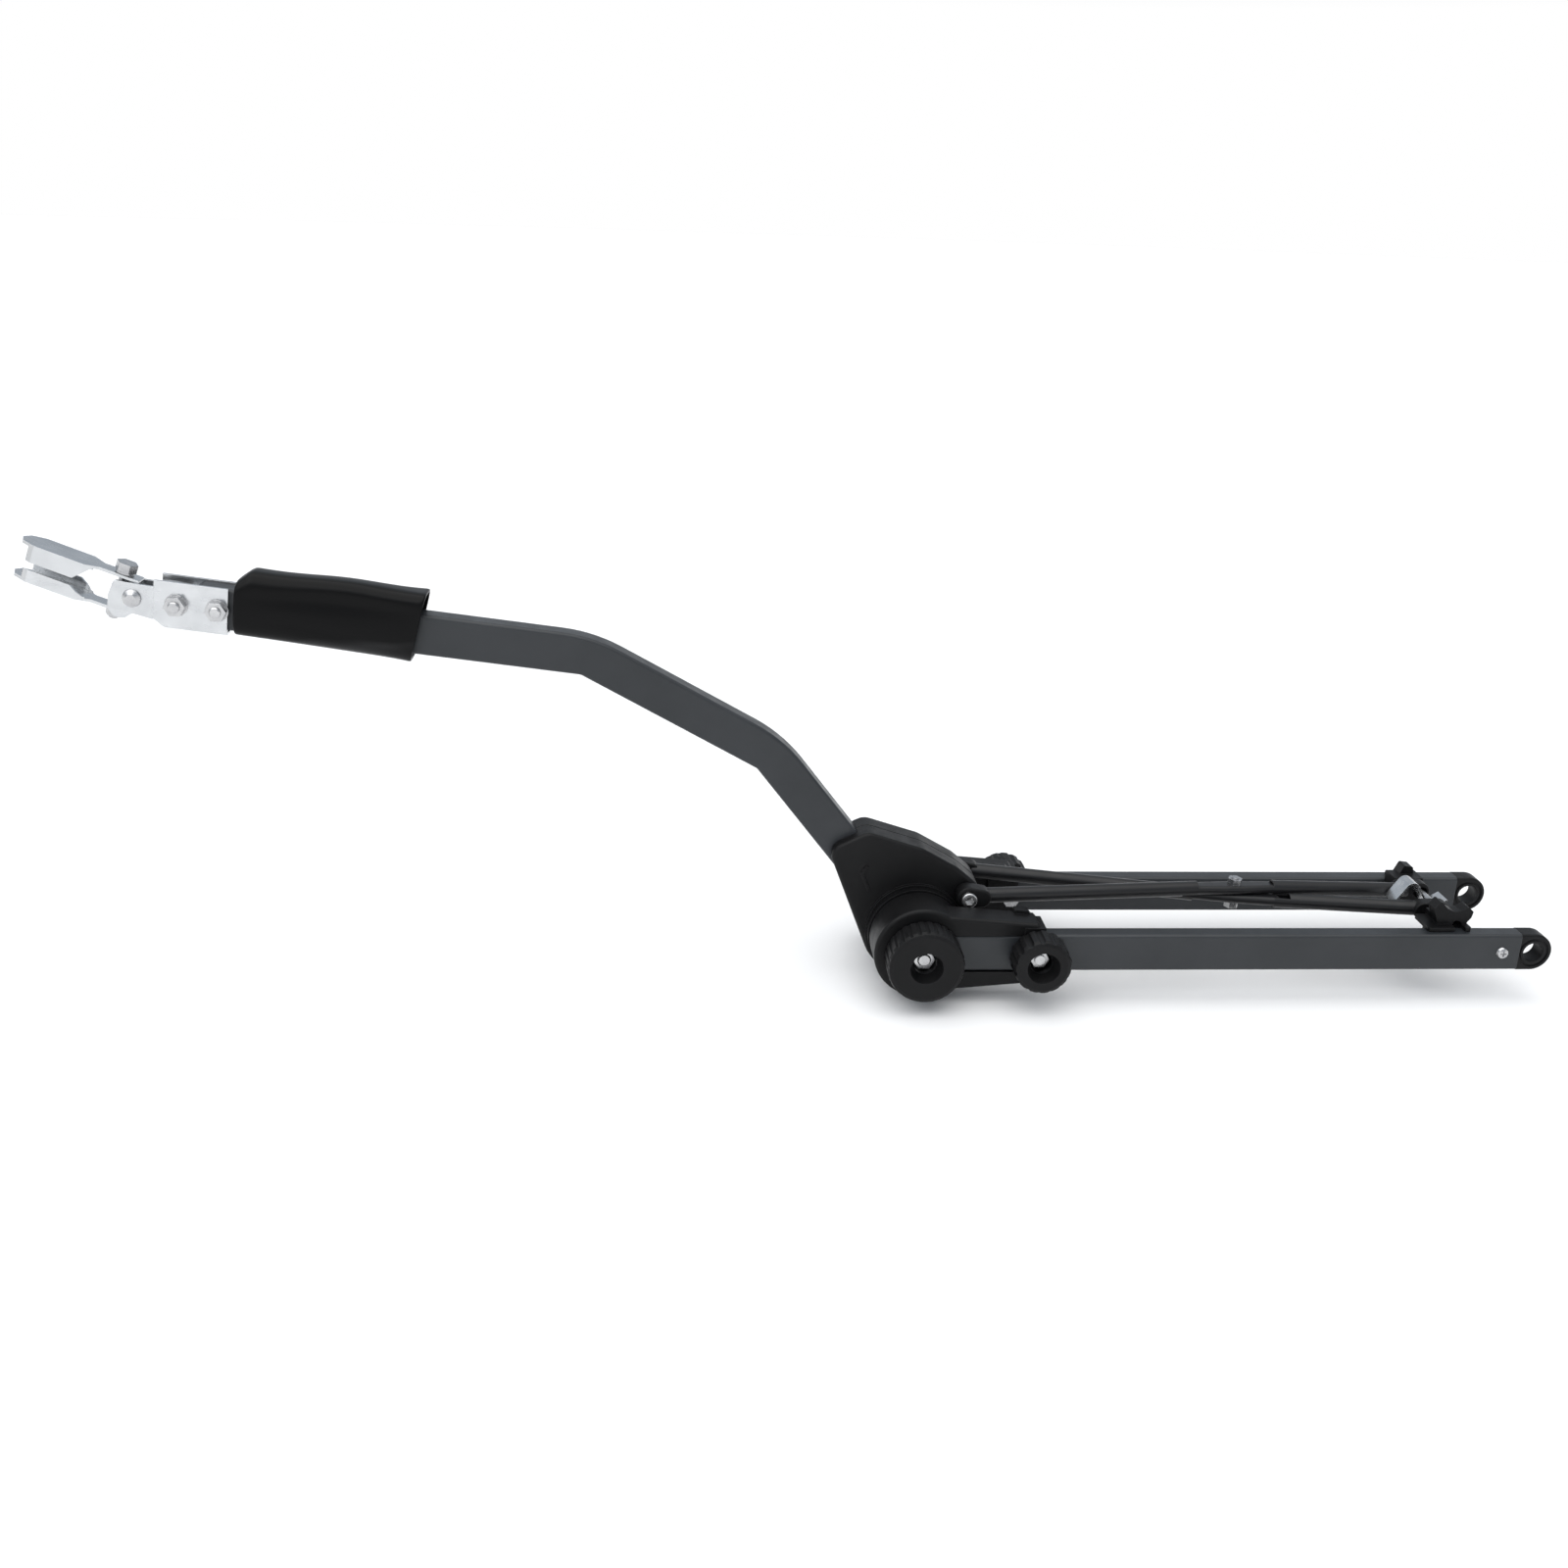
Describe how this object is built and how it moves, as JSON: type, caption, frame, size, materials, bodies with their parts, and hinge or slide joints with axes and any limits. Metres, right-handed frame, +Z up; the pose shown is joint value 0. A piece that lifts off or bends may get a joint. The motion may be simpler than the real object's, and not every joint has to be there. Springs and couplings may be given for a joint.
{
  "type": "folding bicycle tow arm",
  "caption": "Clamp-on bicycle tow arm: bent boom with a jaw clamp, toothed hub with clamping knob, parallel side arms with eye ends and crossed rods.",
  "frame": {"origin": "midway between the two eyes, on their common axis", "axes": "+X along the side arms, away from the jaw clamp; +Y along the eye axis, from the main knob's side to the other; +Z up"},
  "size_m": [1.1457, 0.174, 0.3361],
  "materials": {
    "tube_paint": "satin anthracite powder coat",
    "black_plastic": "fine moulded grain",
    "rod_paint": "black satin enamel",
    "sleeve_rubber": "smooth with a soft sheen",
    "zinc_sheet": "bright zinc plated sheet",
    "bright_steel": "zinc plated fasteners"
  },
  "bodies": {
    "side_arms": {"near_side_arm": "tube_paint", "far_side_arm": "tube_paint", "near_end_cap": "black_plastic", "far_end_cap": "black_plastic", "end_cap_screws": "bright_steel", "near_bracket": "black_plastic", "far_bracket": "black_plastic", "near_toothed_disc": "black_plastic", "far_toothed_disc": "black_plastic", "pivot_bush": "bright_steel", "axle_bolt": "bright_steel", "axle_washer": "bright_steel", "main_knob_washer": "bright_steel", "arm_knob_bolts": "bright_steel"},
    "boom": {"near_housing_shell": "black_plastic", "far_housing_shell": "black_plastic", "housing_screws": "bright_steel", "boom_tube": "tube_paint", "boom_end_plug": "black_plastic", "rubber_sleeve": "sleeve_rubber", "fin_bolt": "bright_steel", "fin_nut": "bright_steel", "clamp_bracket": "zinc_sheet", "clamp_bolts": "bright_steel", "clamp_washers": "bright_steel", "clamp_nuts": "bright_steel"},
    "cross_rods": {"upper_cross_rod": "rod_paint", "lower_cross_rod": "rod_paint", "near_hub_rod_end": "black_plastic", "far_hub_rod_end": "black_plastic", "far_carriage_rod_end": "black_plastic", "near_carriage_rod_end": "black_plastic", "crossing_bolt": "bright_steel", "crossing_nut": "bright_steel"},
    "carriage": {"near_saddle": "black_plastic", "far_saddle": "black_plastic", "tie_bolt": "bright_steel", "tie_nut": "bright_steel", "spring_clip": "zinc_sheet"},
    "main_knob_body": {"main_knob": "black_plastic", "main_knob_nut": "bright_steel"},
    "near_arm_knob_body": {"near_arm_knob": "black_plastic", "near_arm_knob_nut": "bright_steel"},
    "far_arm_knob_body": {"far_arm_knob": "black_plastic", "far_arm_knob_nut": "bright_steel"},
    "jaw_head_body": {"jaw_head": "zinc_sheet", "jaw_pin": "bright_steel", "lower_jaw": "zinc_sheet", "pinch_nut": "bright_steel"},
    "upper_jaw_body": {"upper_jaw": "zinc_sheet"},
    "pinch_screw": {"pinch_bolt": "bright_steel", "pinch_washer": "bright_steel"}
  },
  "joints": [
    {"name": "main_pivot", "type": "hinge", "parent": "side_arms", "child": "boom", "pos_m": [-0.479, 0, 0], "axis": [0, 1, 0], "range_deg": [-15, 15]},
    {"name": "rod_pivot", "type": "hinge", "parent": "boom", "child": "cross_rods", "pos_m": [-0.4405, 0, 0.032], "axis": [0, 1, 0], "range_deg": [-17, 17]},
    {"name": "carriage_slide", "type": "slide", "parent": "side_arms", "child": "carriage", "axis": [1, 0, 0], "range_m": [-0.009, 0.009]},
    {"name": "main_knob_turn", "type": "hinge", "parent": "side_arms", "child": "main_knob_body", "pos_m": [-0.479, -0.075, 0], "axis": [0, 1, 0], "continuous": true},
    {"name": "near_arm_knob_turn", "type": "hinge", "parent": "side_arms", "child": "near_arm_knob_body", "pos_m": [-0.391, -0.075, 0], "axis": [0, 1, 0], "continuous": true},
    {"name": "far_arm_knob_turn", "type": "hinge", "parent": "side_arms", "child": "far_arm_knob_body", "pos_m": [-0.391, 0.075, 0], "axis": [0, 1, 0], "continuous": true},
    {"name": "head_pivot", "type": "hinge", "parent": "boom", "child": "jaw_head_body", "pos_m": [-1.018, 0, 0.25], "axis": [0, 1, 0], "range_deg": [-15, 15]},
    {"name": "upper_jaw_hinge", "type": "hinge", "parent": "jaw_head_body", "child": "upper_jaw_body", "pos_m": [-1.04506, 0, 0.26427], "axis": [0, 1, 0], "range_deg": [-3, 10]},
    {"name": "pinch_screw_slide", "type": "slide", "parent": "jaw_head_body", "child": "pinch_screw", "axis": [0.3584, 0, 0.9336], "range_m": [-0.001, 0.0025]}
  ],
  "couplings": [
    {"joint": "rod_pivot", "follows": "main_pivot", "ratio": -1.1009},
    {"joint": "carriage_slide", "follows": "main_pivot", "m_per_rad": 0.03351},
    {"joint": "pinch_screw_slide", "follows": "upper_jaw_hinge", "m_per_rad": 0.014}
  ]
}
